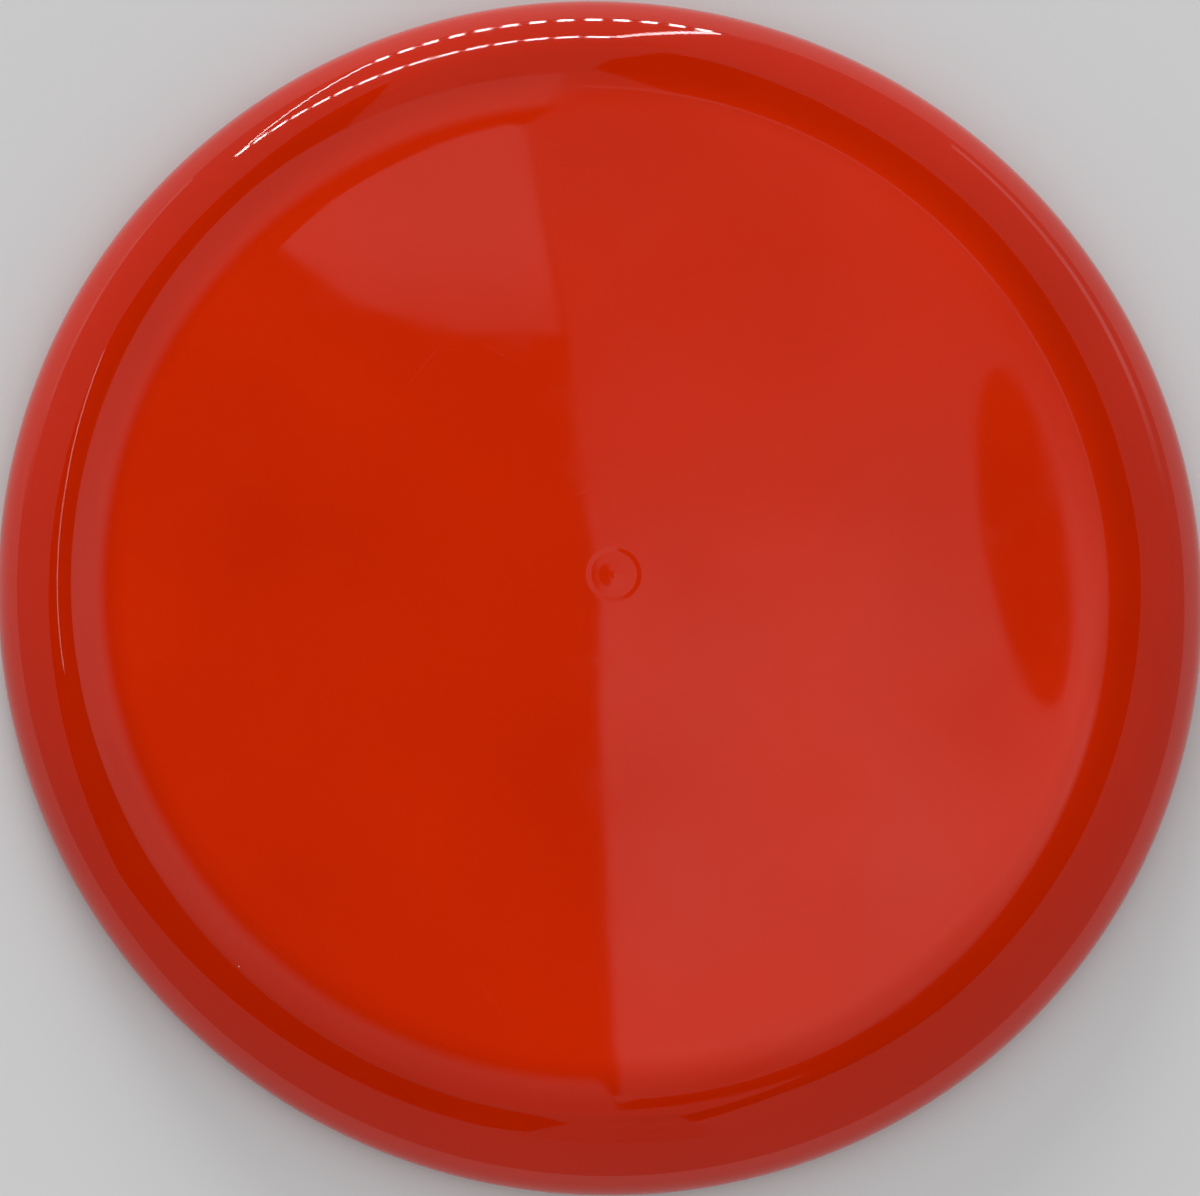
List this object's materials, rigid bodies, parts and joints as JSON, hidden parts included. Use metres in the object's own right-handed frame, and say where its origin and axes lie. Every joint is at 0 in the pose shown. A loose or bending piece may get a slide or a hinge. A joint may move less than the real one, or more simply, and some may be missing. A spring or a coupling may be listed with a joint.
{
  "type": "golf flying disc",
  "caption": "Round throwing disc with a thin domed flight plate keyed into a thick rounded grip rim, hollow underneath, lying rim down.",
  "frame": {"origin": "centre of the plane that the rim's flat land rests on", "axes": "+Z is the spin axis and points out of the top of the flight plate"},
  "size_m": [0.212, 0.212, 0.0192],
  "materials": {
    "plate_plastic": "glossy moulded translucent thermoplastic, thin wall",
    "rim_plastic": "glossy moulded translucent thermoplastic, thick wall"
  },
  "bodies": {
    "root": {"flight_plate": "plate_plastic", "rim": "rim_plastic"}
  },
  "joints": []
}
